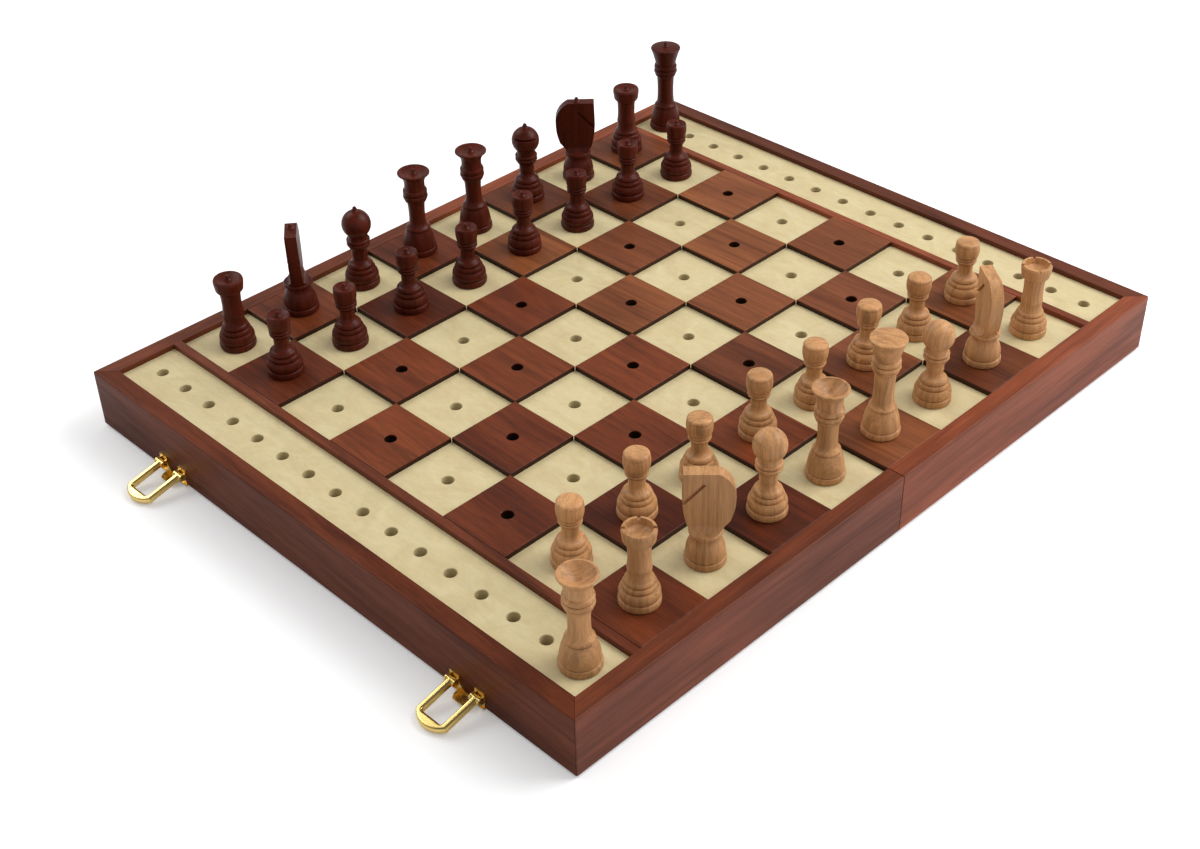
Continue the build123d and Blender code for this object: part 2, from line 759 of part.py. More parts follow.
def point(level):
    """A point that stands in the top of a dark piece, and the hole for its shank."""
    outline = [(0, -point_shank_length, 0), (point_shank_radius, -point_shank_length, 0)]
    outline += [(point_shank_radius, 0, 0), (point_radius, 0, 0), (point_radius - 0.1, 0.25, 0)]
    shoulder = point_height - point_tip_radius * 0.9
    outline += [(point_tip_radius, shoulder, -0.15)] + tip(point_tip_radius, shoulder, point_height)
    hole = rod(point_shank_radius + point_clearance, (0, 0, level - point_shank_length), (0, 0, level + 1))
    return Pos(0, 0, level) * turned(outline), hole


def playing_piece(kind, dark, facing):
    """The solids of one piece, turned to face a direction in degrees from +X."""
    if kind == "knight":
        level = knight_height
        body = turned(knight_neck_outline()) + knight_head()
    else:
        outline = outlines[kind](dark)
        level = outline[-1][1]
        body = turned(outline)
    if kind == "rook" and not dark:
        body -= rook_notches()
    if kind == "bishop":
        body -= bishop_slit()
    body += peg()
    if not dark:
        return [Rot(0, 0, facing) * body]
    pin, hole = point(level)
    return [Rot(0, 0, facing) * (body - hole), pin]


# Where the pieces stand, and which way they face in degrees from +X
outlines = {"pawn": pawn, "bishop": bishop, "rook": rook, "queen": queen, "king": king}
back_rank = ["rook", "knight", "bishop", "queen", "king", "bishop", "knight", "rook"]
towards_dark, towards_light = 90, -90
light_facing = {1: 134, 6: 52}
dark_facing = {1: 232, 2: 45, 5: -135, 6: -44}


def army(colour, kinds, main_row, pawn_row, ahead, facing):
    """One player's sixteen pieces: name, kind, whether dark, foot and direction."""
    dark = colour == "dark"
    for file, kind in enumerate(kinds):
        letter = "abcdefgh"[file]
        turn = facing.get(file, ahead)
        yield f"{colour}_{kind}_{letter}{main_row + 1}", kind, dark, foot_on_square(file, main_row), turn
        yield f"{colour}_pawn_{letter}{pawn_row + 1}", "pawn", dark, foot_on_square(file, pawn_row), ahead


def piece_places():
    """Every piece's name, kind, whether it is dark, its foot and its direction."""
    queens = ["queen" if kind == "king" else kind for kind in back_rank]
    yield from army("light", back_rank, 0, 1, towards_dark, light_facing)
    yield from army("dark", queens, ranks - 1, ranks - 2, towards_light, dark_facing)
    yield "light_queen_spare", "queen", False, (*strip_hole(-1, strip_holes - 1), panel_top), towards_dark
    yield "dark_king", "king", True, (*strip_hole(1, 0), panel_top), towards_light


def foot_on_square(file, rank):
    x, y = square_middle(file, rank)
    return x, y, rail_height if is_dark(file, rank) else panel_top


def build_board():
    for side, half in ((-1, "left"), (1, "right")):
        save(f"{half}_front_rail", side_rail(side, -1))
        save(f"{half}_back_rail", side_rail(side, 1))
        save(f"{half}_end_rail", end_rail(side))
        save(f"{half}_middle_rail", middle_rail(side))
        save(f"{half}_panel", panel(side))
        save(f"{half}_dark_squares", dark_squares(side))
        save(f"{half}_divider_slat", divider_slat(side))
        save(f"hinge_leaves_{half}", [hinge_leaf(side, y) for y in hinge_places()])
        save(f"hinge_screws_{half}", hinge_screws(side))
    save("hinge_pins", [hinge_pin(y) for y in hinge_places()])


def build_clasps():
    front, back = clasp_places()
    save("clasp_plates", [clasp_plate(front), clasp_plate(back)])
    save("clasp_nails", wall_nails(-1))
    save("clasp_loop_front", clasp_loop(front))
    save("clasp_loop_back", clasp_loop(back))
    save("catch_plates", [catch_plate(front), catch_plate(back)])
    save("catch_nails", wall_nails(1))


def build_pieces():
    for name, kind, dark, foot, facing in piece_places():
        save(name, [Pos(*foot) * solid for solid in playing_piece(kind, dark, facing)])


build_board()
build_clasps()
build_pieces()
print(f"board {2 * half_length:.1f} x {2 * half_width:.1f} x {rail_height:.1f}")
print(f"loops rest {rest_angle:.2f} degrees down and shut {loop_closed_angle - rest_angle:.2f} further down")
print(f"loop pivots at x {-half_length - pivot_reach:.2f}, catch hooks at z {catch_hook_height():.2f}")
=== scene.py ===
"""Finishes a folding tactile chess set: woods, brass, soft-edged squares and a photo studio.

Everything is in metres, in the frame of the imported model: the middle of the open board is the
origin, +X runs towards the catches, +Y towards the dark pieces and +Z up.
"""
import math
import random

import bmesh
import bpy
from mathutils import Matrix, Vector


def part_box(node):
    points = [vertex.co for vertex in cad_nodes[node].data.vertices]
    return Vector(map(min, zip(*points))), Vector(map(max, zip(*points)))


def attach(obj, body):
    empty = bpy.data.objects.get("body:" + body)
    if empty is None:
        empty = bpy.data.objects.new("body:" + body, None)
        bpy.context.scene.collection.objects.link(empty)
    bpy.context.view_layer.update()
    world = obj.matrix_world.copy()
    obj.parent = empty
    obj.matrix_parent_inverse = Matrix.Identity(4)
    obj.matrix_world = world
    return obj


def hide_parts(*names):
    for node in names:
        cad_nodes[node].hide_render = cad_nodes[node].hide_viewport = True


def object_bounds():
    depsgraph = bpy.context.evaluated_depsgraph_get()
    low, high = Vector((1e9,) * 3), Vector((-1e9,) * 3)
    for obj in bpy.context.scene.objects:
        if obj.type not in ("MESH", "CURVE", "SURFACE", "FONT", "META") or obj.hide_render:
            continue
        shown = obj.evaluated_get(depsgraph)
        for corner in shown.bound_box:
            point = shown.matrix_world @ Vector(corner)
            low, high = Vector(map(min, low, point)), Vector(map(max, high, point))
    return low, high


bl_info = {
    "name": "Tactile Chess Set",
    "version": (1, 0, 0),
    "blender": (4, 5, 0),
    "location": "3D Viewport > Sidebar > Chess Set",
    "description": "Woods, brass, raised squares and a studio for a folding tactile chess set",
    "category": "Object",
}

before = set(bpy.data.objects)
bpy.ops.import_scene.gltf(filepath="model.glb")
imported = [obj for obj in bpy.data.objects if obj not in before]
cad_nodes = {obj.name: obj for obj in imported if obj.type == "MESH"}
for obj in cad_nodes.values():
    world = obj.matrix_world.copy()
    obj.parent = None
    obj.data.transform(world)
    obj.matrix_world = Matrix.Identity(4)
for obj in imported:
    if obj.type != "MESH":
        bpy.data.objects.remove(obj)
cad_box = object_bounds()
MM = 0.001
HALVES = ("left", "right")
FILES_PER_HALF = 4
RANKS = 8
VARNISH_IOR = 1.45
SIDE_SHADE_AND_SEAM_TONE = 0.20  # tone of the painted shade on a square's cut sides, and of the dark joints in the mitred seams
WHITE = (1.0, 1.0, 1.0, 1.0)
TILE_CHANCE = "tile_chance"  # the attribute with each raised square's random numbers


def middle(node):
    """The middle of a CAD node's box."""
    low, high = (Vector(corner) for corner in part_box(node))
    return (low + high) / 2


def square_pitch():
    """The board's squares, from the row of light pieces along its edge."""
    first, last = middle("light_rook_a1"), middle("light_rook_h1")
    return (last.x - first.x) / (2 * FILES_PER_HALF - 1)


# Settings


def colour_setting(name, description, default):
    return bpy.props.FloatVectorProperty(
        name=name, description=description, default=default,
        size=3, min=0.0, max=1.0, subtype="COLOR",
    )


def length_setting(name, description, default):
    return bpy.props.FloatProperty(
        name=name, description=description, default=default, unit="LENGTH", precision=5
    )


def power_setting(name, description, default):
    return bpy.props.FloatProperty(
        name=name, description=description, default=default, min=0.0, unit="POWER"
    )


def number_setting(name, description, default, low=0.0, high=1.0):
    return bpy.props.FloatProperty(
        name=name, description=description, default=default, min=low, max=high, subtype="FACTOR"
    )


class ChessColours(bpy.types.PropertyGroup):
    """The colours of the woods and metals."""

    rail: colour_setting("Rails", "Red-brown wood of the rails", (0.172, 0.040, 0.0145))
    left_square: colour_setting("Left squares", "Left raised squares", (0.132, 0.0265, 0.007))
    right_square: colour_setting("Right squares", "Right raised squares", (0.166, 0.046, 0.015))
    panel: colour_setting("Pale panel", "Wood of pale squares and strips", (0.576, 0.473, 0.263))
    light_piece: colour_setting("Light pieces", "Natural wood", (0.480, 0.238, 0.095))
    dark_piece: colour_setting("Dark pieces", "Stained wood", (0.070, 0.009, 0.003))
    brass: colour_setting("Brass", "Polished brass of all fittings", (0.950, 0.700, 0.250))


class ChessSizes(bpy.types.PropertyGroup):
    """Sizes of what is shaped here, and of the figure in the woods."""

    square: length_setting("Square", "Pitch of the squares", square_pitch())
    tile_gap: length_setting("Square gap", "Gap between two neighbouring dark squares", 0.2 * MM)
    tile_edge: length_setting("Edge softness", "Rounding of a dark square's top edges", 0.35 * MM)
    hole: length_setting("Peg hole", "Radius of the peg holes", 2.75 * MM)
    hole_edge: length_setting("Hole edge", "Chamfer at the top of a peg hole", 0.25 * MM)
    rail_grain: length_setting("Rail grain", "Width of the streaks in the rails", 3.0 * MM)
    piece_grain: length_setting("Piece grain", "Width of the growth lines in the pieces", 1.5 * MM)


class ChessStudio(bpy.types.PropertyGroup):
    """The floor, the lamps and the camera."""

    lens: bpy.props.FloatProperty(
        name="Lens", description="Focal length of the camera", default=52.1, unit="CAMERA"
    )
    floor_tone: number_setting("Floor tone", "How pale the floor is", 0.86)
    ambient: number_setting("Ambient light", "Light from the room", 0.62, high=3.0)
    one_sided: number_setting("One-sidedness", "How much more light the right side gives", 0.35)
    mirrored: number_setting("Mirrored walls", "Brightness of walls in polished faces", 0.55)
    overhead: number_setting("Mirrored ceiling", "Brightness of ceiling in polished faces", 0.10)
    key_power: power_setting("Key lamp", "Power of the main lamp", 16.0)
    back_power: power_setting("Back lamp", "Power of the lamp behind", 9.0)


# Building node trees


class Wiring:
    """A node tree that is being put together."""

    def __init__(self, tree):
        self.tree = tree

    def node(self, kind, inputs=None, **settings):
        """Adds a node. An input is a socket to link or a value to set."""
        made = self.tree.nodes.new(kind)
        for name, value in settings.items():
            setattr(made, name, value)
        for name, value in (inputs or {}).items():
            self.feed(made, name, value)
        return made

    def feed(self, node, name, value):
        """Links a socket to an input, or sets the input to a value."""
        target = node.inputs[name]
        if isinstance(value, bpy.types.NodeSocket):
            self.tree.links.new(value, target)
        else:
            target.default_value = value

    def maths(self, operation, *values):
        """One sum, with sockets or numbers as its values."""
        inputs = dict(enumerate(values))
        return self.node("ShaderNodeMath", inputs, operation=operation).outputs["Value"]


class Recipe(Wiring):
    """A material that is being put together from nodes."""

    def __init__(self, name):
        self.material = bpy.data.materials.new(name)
        self.material.use_nodes = True
        super().__init__(self.material.node_tree)
        self.tree.nodes.clear()
        self.output = self.node("ShaderNodeOutputMaterial")
        self.shader = self.node("ShaderNodeBsdfPrincipled")
        self.tree.links.new(self.shader.outputs["BSDF"], self.output.inputs["Surface"])

    def surface(self, **inputs):
        """Feeds the surface shader, with underscores for the spaces in its sockets' names."""
        for name, value in inputs.items():
            self.feed(self.shader, name.replace("_", " "), value)

    def varnish(self, specular, coat, coat_roughness):
        """A clear finish over wood, the same all over the piece."""
        self.surface(Specular_IOR_Level=specular, IOR=VARNISH_IOR)
        self.surface(Coat_Weight=coat, Coat_Roughness=coat_roughness)

    def place(self, centre, lengths, turn=(0.0, 0.0, 0.0), shift=None):
        """Object coordinates counted from a centre, in features of the given lengths."""
        spot = self.node("ShaderNodeTexCoord").outputs["Object"]
        if shift is not None:
            moved = self.node("ShaderNodeVectorMath", {0: spot, 1: shift}, operation="ADD")
            spot = moved.outputs["Vector"]
        inputs = {"Vector": spot, "Location": centre, "Rotation": turn, "Scale": lengths}
        return self.node("ShaderNodeMapping", inputs, vector_type="TEXTURE").outputs["Vector"]

    def noise(self, where, detail=3.0, roughness=0.5, distortion=0.0):
        """A soft random figure between 0 and 1, with features one unit long."""
        return self.node("ShaderNodeTexNoise", {
            "Vector": where, "Scale": 1.0,
            "Detail": detail, "Roughness": roughness, "Distortion": distortion,
        }).outputs["Fac"]

    def ramp(self, factor, *stops):
        """A colour ramp over (place, colour) stops; a number stands for a grey."""
        made = self.node("ShaderNodeValToRGB", {"Fac": factor})
        elements = made.color_ramp.elements
        while len(elements) < len(stops):
            elements.new(0.5)
        for element, (place, colour) in zip(elements, stops):
            element.position = place
            tone = (colour,) * 3 if isinstance(colour, (int, float)) else tuple(colour)
            element.color = (*tone, 1.0)
        return made.outputs["Color"]

    def mix(self, factor, first, second, mode="MIX"):
        """Blends two colours. The sockets go by identifier, because some share their names."""
        made = self.node("ShaderNodeMix", data_type="RGBA", blend_type=mode, clamp_factor=True)
        for name, value in (("Factor_Float", factor), ("A_Color", first), ("B_Color", second)):
            socket = next(entry for entry in made.inputs if entry.identifier == name)
            if isinstance(value, bpy.types.NodeSocket):
                self.tree.links.new(value, socket)
            else:
                socket.default_value = value if name == "Factor_Float" else (*value, 1.0)
        return next(entry for entry in made.outputs if entry.identifier == "Result_Color")

    def part(self, where, axis):
        """One coordinate of a vector."""
        return self.node("ShaderNodeSeparateXYZ", {"Vector": where}).outputs[axis]

    def chance(self):
        """Three random numbers that differ from square to square."""
        made = self.node(
            "ShaderNodeAttribute", attribute_type="GEOMETRY", attribute_name=TILE_CHANCE)
        return made.outputs["Vector"]

    def upright(self):
        """1 on faces that stand, and 0 on faces that lie flat."""
        steepest = 0.3
        normal = self.node("ShaderNodeNewGeometry").outputs["True Normal"]
        return self.maths("LESS_THAN", self.maths("ABSOLUTE", self.part(normal, "Z")), steepest)

    def relief(self, height, depth):
        """Fine relief from a height between 0 and 1."""
        inputs = {"Height": height, "Strength": 1.0, "Distance": depth}
        self.surface(Normal=self.node("ShaderNodeBump", inputs).outputs["Normal"])


def shade(colour, factor, warmth=0.0):
    """A darker or paler tone of a colour, a little redder with warmth."""
    pulls = (1 + warmth, 1.0, 1 - warmth)
    return tuple(min(1.0, part * factor * pull) for part, pull in zip(colour, pulls))


def along(axis, length, width):
    """Feature sizes that are long on one axis."""
    return tuple(length if letter == axis else width for letter in "XYZ")


def red_wood(name, colour, axis, width, centre, seed, specular=0.22, tiled=False, seams=False):
    """Straight-grained red-brown wood with soft streaks and pores under a thin satin varnish."""
    dice = random.Random(seed)
    centre = Vector(centre) + Vector([dice.uniform(-1, 1) for letter in "XYZ"])
    tilt = tuple(math.radians(dice.uniform(-5, 5)) for letter in "XYZ")
    recipe = Recipe(name)
    shift = recipe.chance() if tiled else None

    def figure(length, across, **character):
        where = recipe.place(centre, along(axis, length, across), tilt, shift)
        return recipe.noise(where, **character)

    cloud = figure(0.12, 7 * width, detail=3.0, roughness=0.5, distortion=0.8)
    streak = figure(0.10, width, detail=4.0, roughness=0.55, distortion=0.6)
    fine = figure(0.025, width * 0.2, detail=3.0, roughness=0.55)
    pores = figure(0.005, 0.00030, detail=2.0, roughness=0.5)
    colours = recipe.ramp(
        cloud,
        (0.30, shade(colour, 0.66, 0.08)), (0.50, colour), (0.70, shade(colour, 1.36, -0.06)),
    )
    streaks = recipe.ramp(streak, (0.32, 0.60), (0.48, 0.96), (0.66, 1.16))
    colours = recipe.mix(0.75, colours, streaks, "MULTIPLY")
    colours = recipe.mix(0.6, colours, recipe.ramp(fine, (0.34, 0.74), (0.66, 1.22)), "MULTIPLY")
    colours = recipe.mix(0.5, colours, recipe.ramp(pores, (0.30, 0.5), (0.42, 1.0)), "MULTIPLY")
    if tiled:
        colours = recipe.mix(1.0, colours, tile_tone(recipe), "MULTIPLY")
        # Painted shade: the upright cut sides and peg-hole walls of each raised square are
        # darkened as if in shadow.
        colours = recipe.mix(recipe.upright(), colours, shade(colour, SIDE_SHADE_AND_SEAM_TONE))
    if seams:
        colours = recipe.mix(mitre_mask(recipe), colours, shade(colour, SIDE_SHADE_AND_SEAM_TONE))
    recipe.surface(Base_Color=colours, Roughness=recipe.ramp(streak, (0.3, 0.50), (0.7, 0.40)))
    recipe.varnish(specular, coat=0.05, coat_roughness=0.20)
    recipe.relief(recipe.mix(0.5, recipe.ramp(pores, (0.28, 0.0), (0.40, 1.0)), fine), 0.04 * MM)
    return recipe.material


def tile_tone(recipe):
    """Each square is a little darker, paler or more orange than the next."""
    return recipe.ramp(
        recipe.part(recipe.chance(), "Z"),
        (0.0, (0.68, 0.62, 0.62)), (0.35, (0.90, 0.86, 0.86)),
        (0.65, (1.06, 1.08, 1.04)), (1.0, (1.32, 1.44, 1.34)),
    )


def mitre_mask(recipe):
    """1 along the hairline where two rails meet at a mitred corner."""
    hairline = 0.13 * MM
    low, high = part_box("left_end_rail")
    offset = abs(low[0]) - (high[1] - low[1]) / 2
    where = recipe.node("ShaderNodeTexCoord").outputs["Object"]
    x, y = (recipe.maths("ABSOLUTE", recipe.part(where, axis)) for axis in "XY")
    distance = recipe.maths("SUBTRACT", recipe.maths("SUBTRACT", x, y), offset)
    return recipe.maths("LESS_THAN", recipe.maths("ABSOLUTE", distance), hairline)


def pale_wood(name, colour, centre, pitch):
    """Pale, close-grained wood with a faint cloudy figure. The walls of the peg holes carry
    painted
    shade: a little darker in the pale squares and strips, near black under the raised squares."""
    recipe = Recipe(name)

    def figure(length, across, **character):
        where = recipe.place(centre, along("Y", length, across))
        return recipe.noise(where, roughness=0.6, **character)

    cloud = figure(0.022, 0.014, detail=4.0, distortion=1.2)
    fleck = figure(0.0036, 0.0012, detail=3.0)
    lines = figure(0.10, 0.0035, detail=4.0, distortion=0.3)
    colours = recipe.ramp(
        cloud,
        (0.30, shade(colour, 0.90, 0.02)), (0.50, colour), (0.72, shade(colour, 1.10, -0.04)),
    )
    colours = recipe.mix(0.30, colours, recipe.ramp(fleck, (0.32, 0.86), (0.60, 1.05)), "MULTIPLY")
    colours = recipe.mix(0.22, colours, recipe.ramp(lines, (0.34, 0.86), (0.62, 1.06)), "MULTIPLY")
    # Painted shade on upright faces: near-black hole walls under the raised squares, slightly
    # darker ones elsewhere.
    where = recipe.place((0.0, 0.0, centre[2] - pitch / 2), (pitch, pitch, pitch))
    hole_shade_dark, hole_shade_pale = shade(colour, 0.035), shade(colour, 0.95)
    checks = recipe.node("ShaderNodeTexChecker", {
        "Vector": where, "Scale": 1.0, "Color1": (*hole_shade_pale, 1.0), "Color2": (*hole_shade_dark, 1.0)})
    away = recipe.maths("ABSOLUTE", recipe.part(where, "X"))
    on_squares = recipe.maths("LESS_THAN", away, FILES_PER_HALF)
    hole_shade = recipe.mix(on_squares, hole_shade_pale, checks.outputs["Color"])
    colours = recipe.mix(recipe.upright(), colours, hole_shade)
    recipe.surface(Base_Color=colours, Roughness=recipe.ramp(fleck, (0.3, 0.52), (0.7, 0.42)))
    recipe.varnish(0.25, coat=0.04, coat_roughness=0.25)
    recipe.relief(fleck, 0.02 * MM)
    return recipe.material


def turned_wood(name, colour, width, centre, seed, smooth, specular, contrast):
    """Upright growth lines through a turned piece, with fine fibres, tool marks and varnish.
    The lowest roughness is smooth, and contrast scales how far the lines stand out."""
    dice = random.Random(seed)
    lean = [math.radians(dice.uniform(-3, 3)) for letter in "XY"]
    turn = (*lean, dice.uniform(0, math.tau))
    offset = Vector(centre) + Vector((dice.uniform(-0.05, 0.05), dice.uniform(-0.05, 0.05), 0))
    tint = dice.uniform(0.90, 1.12)
    recipe = Recipe(name)

    def figure(across, height, **character):
        where = recipe.place(offset, (across, 3 * across, height), turn)
        return recipe.noise(where, detail=3.0, **character)

    broad = figure(0.007, 0.060, roughness=0.5, distortion=0.4)
    lines = figure(width, 0.080, roughness=0.55, distortion=0.3)
    fibre = figure(0.00035, 0.010, roughness=0.6)
    marks = recipe.noise(recipe.place(centre, (0.5, 0.5, 0.0007)), detail=2.0, roughness=0.6)
    swing = 0.17 * contrast
    low, high = 1.0 - 0.38 * contrast, 1.0 + 0.20 * contrast
    colours = recipe.ramp(
        broad,
        (0.28, shade(colour, (1 - swing) * tint, 0.04)), (0.50, shade(colour, tint)),
        (0.72, shade(colour, (1 + swing) * tint, -0.03)),
    )
    growth = recipe.ramp(lines, (0.32, low), (0.50, 1.0), (0.68, high))
    colours = recipe.mix(0.70, colours, growth, "MULTIPLY")
    colours = recipe.mix(0.45, colours, recipe.ramp(fibre, (0.34, low), (0.62, high)), "MULTIPLY")
    recipe.surface(Base_Color=colours)
    recipe.surface(Roughness=recipe.ramp(fibre, (0.3, smooth + 0.08), (0.7, smooth)))
    recipe.varnish(specular, coat=0.06, coat_roughness=0.22)
    recipe.relief(recipe.mix(0.45, fibre, marks), 0.03 * MM)
    return recipe.material


def polished_metal(name, colour, centre, roughness, wear):
    """Polished metal with faint rolling lines and rubbed patches."""
    recipe = Recipe(name)
    patches = recipe.noise(
        recipe.place(centre, (0.006,) * 3), detail=4.0, roughness=0.6, distortion=0.4)
    lines = recipe.noise(
        recipe.place(centre, along("Y", 0.012, 0.0004)), detail=3.0, roughness=0.6)
    worn, rubbed = shade(colour, 1 - wear, 0.03), shade(colour, 1.06)
    colours = recipe.ramp(patches, (0.30, worn), (0.55, colour), (0.8, rubbed))
    recipe.surface(Base_Color=colours, Metallic=1.0)
    recipe.surface(Roughness=recipe.ramp(patches, (0.3, roughness * 1.5), (0.7, roughness)))
    recipe.relief(lines, 0.008 * MM)
    return recipe.material


def dress(node, material):
    """Gives a CAD node its finish."""
    slots = cad_nodes[node].material_slots
    if not slots:
        cad_nodes[node].data.materials.append(material)
    for entry in cad_nodes[node].material_slots:
        entry.material = material


def dress_pieces(start, colour, width, first_seed, **finish):
    """Gives each playing piece whose name starts so a turned wood of its own."""
    names = sorted(name for name in cad_nodes if name.startswith(start))
    for seed, node in enumerate(names, first_seed):
        dress(node, turned_wood(f"{node}_wood", colour, width, middle(node), seed, **finish))


# The pieces


class CHESS_OT_finish_rails(bpy.types.Operator):
    """Finish the rails round both halves and the slats beside the spare strips."""

    bl_idname = "chess.finish_rails"
    bl_label = "Finish Rails"

    def execute(self, context):
        colours, sizes = context.scene.chess_colours, context.scene.chess_sizes
        # How pale each plank is against the rails' colour. The clasp end rail is darker than its
        # half as painted shade, for the end away from the lamps; it is also the dullest.
        tones = {"left": 0.80, "right": 1.18, "left_end_rail": 0.68, "right_end_rail": 0.62}
        dull, satin, first_seed = 0.12, 0.22, 11
        places = {"front_rail": "X", "back_rail": "X"}
        places |= {"end_rail": "Y", "middle_rail": "Y", "divider_slat": "Y"}
        rails = [(half, f"{half}_{place}", places[place]) for half in HALVES for place in places]
        for seed, (half, node, axis) in enumerate(rails, first_seed):
            colour = shade(tuple(colours.rail), tones.get(node, tones[half]), 0.03)
            specular = dull if node == "left_end_rail" else satin
            seams = node.endswith(("front_rail", "back_rail", "end_rail"))
            dress(node, red_wood(
                f"{node}_wood", colour, axis, sizes.rail_grain, middle(node), seed,
                specular, seams=seams))
        return {"FINISHED"}


class CHESS_OT_finish_panels(bpy.types.Operator):
    """Finish the pale panels that carry the pale squares and the spare strips."""

    bl_idname = "chess.finish_panels"
    bl_label = "Finish Panels"

    def execute(self, context):
        colour = tuple(context.scene.chess_colours.panel)
        pitch = context.scene.chess_sizes.square
        for half in HALVES:
            node = f"{half}_panel"
            dress(node, pale_wood(f"{node}_wood", colour, middle(node), pitch))
        return {"FINISHED"}


def square_tile(sizes, thickness):
    """One raised square with soft top edges and a chamfered peg hole, as a pattern object."""
    steps = 32
    half = (sizes.square - sizes.tile_gap) / 2
    edge = sizes.tile_edge
    rings = [
        ("round", sizes.hole, 0.0),
        ("round", sizes.hole, thickness - sizes.hole_edge),
        ("round", sizes.hole + sizes.hole_edge, thickness),
        ("square", half - edge, thickness),
        ("square", half - 0.3 * edge, thickness - 0.3 * edge),
        ("square", half, thickness - edge),
        ("square", half, 0.0),
    ]
    shape = bmesh.new()
    made = []
    for kind, reach, height in rings:
        ring = []
        for step in range(steps):
            angle = math.tau * step / steps
            across, up = math.cos(angle), math.sin(angle)
            stretch = reach / (max(abs(across), abs(up)) if kind == "square" else 1.0)
            ring.append(shape.verts.new((stretch * across, stretch * up, height)))
        made.append(ring)
    for inner, outer in zip(made, made[1:] + made[:1]):
        for step in range(steps):
            after = (step + 1) % steps
            shape.faces.new((inner[step], outer[step], outer[after], inner[after]))
    bmesh.ops.recalc_face_normals(shape, faces=shape.faces)
    mesh = bpy.data.meshes.new("tile_pattern")
    shape.to_mesh(mesh)
    shape.free()
    pattern = bpy.data.objects.new("tile_pattern", mesh)
    bpy.context.scene.collection.objects.link(pattern)
    return pattern


class Flow(Wiring):
    """A Geometry Nodes tree that is being put together."""

    def __init__(self, name, inputs):
        super().__init__(bpy.data.node_groups.new(name, "GeometryNodeTree"))
        sockets = self.tree.interface
        sockets.new_socket("Geometry", in_out="OUTPUT", socket_type="NodeSocketGeometry")
        self.sockets = {
            label: sockets.new_socket(label, in_out="INPUT", socket_type=kind)
            for label, kind in inputs.items()
        }
        self.start = self.node("NodeGroupInput")
        self.end = self.node("NodeGroupOutput")

    def given(self, label):
        """The value of one of the tree's inputs."""
        return self.start.outputs[label]

    def finish(self, geometry, material):
        """Ends the tree with real geometry in one material."""
        real = self.node("GeometryNodeRealizeInstances", {"Geometry": geometry})
        dressed = self.node("GeometryNodeSetMaterial", {
            "Geometry": real.outputs["Geometry"], "Material": material})
        self.feed(self.end, "Geometry", dressed.outputs["Geometry"])

    def make(self, name, values):
        """Runs the tree on a new object and keeps the result as a plain mesh."""
        piece = bpy.data.objects.new(name, bpy.data.meshes.new(name))
        bpy.context.scene.collection.objects.link(piece)
        modifier = piece.modifiers.new(name, "NODES")
        modifier.node_group = self.tree
        for label, value in values.items():
            modifier[self.sockets[label].identifier] = value
        depsgraph = bpy.context.evaluated_depsgraph_get()
        mesh = bpy.data.meshes.new_from_object(piece.evaluated_get(depsgraph))
        if not mesh.polygons:
            raise RuntimeError(f"{name} came out empty")
        piece.modifiers.clear()
        piece.data = mesh
        return piece


def square_flow():
    """Raised squares on every other place of a grid, each cut from its own bit of board."""
    flow = Flow("raised_squares", {
        "Pattern": "NodeSocketObject", "Pitch": "NodeSocketFloat", "Files": "NodeSocketInt",
        "Ranks": "NodeSocketInt", "Middle": "NodeSocketVector", "Seed": "NodeSocketInt",
        "Material": "NodeSocketMaterial",
    })
    pitch = flow.given("Pitch")
    width = flow.maths("MULTIPLY", flow.maths("SUBTRACT", flow.given("Files"), 1.0), pitch)
    depth = flow.maths("MULTIPLY", flow.maths("SUBTRACT", flow.given("Ranks"), 1.0), pitch)
    grid = flow.node("GeometryNodeMeshGrid", {
        "Size X": width, "Size Y": depth,
        "Vertices X": flow.given("Files"), "Vertices Y": flow.given("Ranks")})
    position = flow.node("GeometryNodeInputPosition").outputs["Position"]
    spot = flow.node("ShaderNodeSeparateXYZ", {"Vector": position})
    places = []
    for axis, extent in (("X", width), ("Y", depth)):
        reach = flow.maths("ADD", spot.outputs[axis], flow.maths("MULTIPLY", extent, 0.5))
        places.append(flow.maths("ROUND", flow.maths("DIVIDE", reach, pitch)))
    odd = flow.maths("GREATER_THAN", flow.maths("MODULO", flow.maths("ADD", *places), 2.0), 0.5)
    kept = flow.node("GeometryNodeDeleteGeometry", {
        "Geometry": grid.outputs["Mesh"], "Selection": odd}, domain="POINT")
    pattern = flow.node("GeometryNodeObjectInfo", {"Object": flow.given("Pattern")})
    tiles = flow.node("GeometryNodeInstanceOnPoints", {
        "Points": kept.outputs["Geometry"], "Instance": pattern.outputs["Geometry"]})
    chance = flow.node(
        "FunctionNodeRandomValue", {"Seed": flow.given("Seed")}, data_type="FLOAT_VECTOR")
    named = flow.node("GeometryNodeStoreNamedAttribute", {
        "Geometry": tiles.outputs["Instances"], "Name": TILE_CHANCE,
        "Value": chance.outputs["Value"],
    }, data_type="FLOAT_VECTOR", domain="INSTANCE")
    moved = flow.node("GeometryNodeTransform", {
        "Geometry": named.outputs["Geometry"], "Translation": flow.given("Middle")})
    flow.finish(moved.outputs["Geometry"], flow.given("Material"))
    return flow


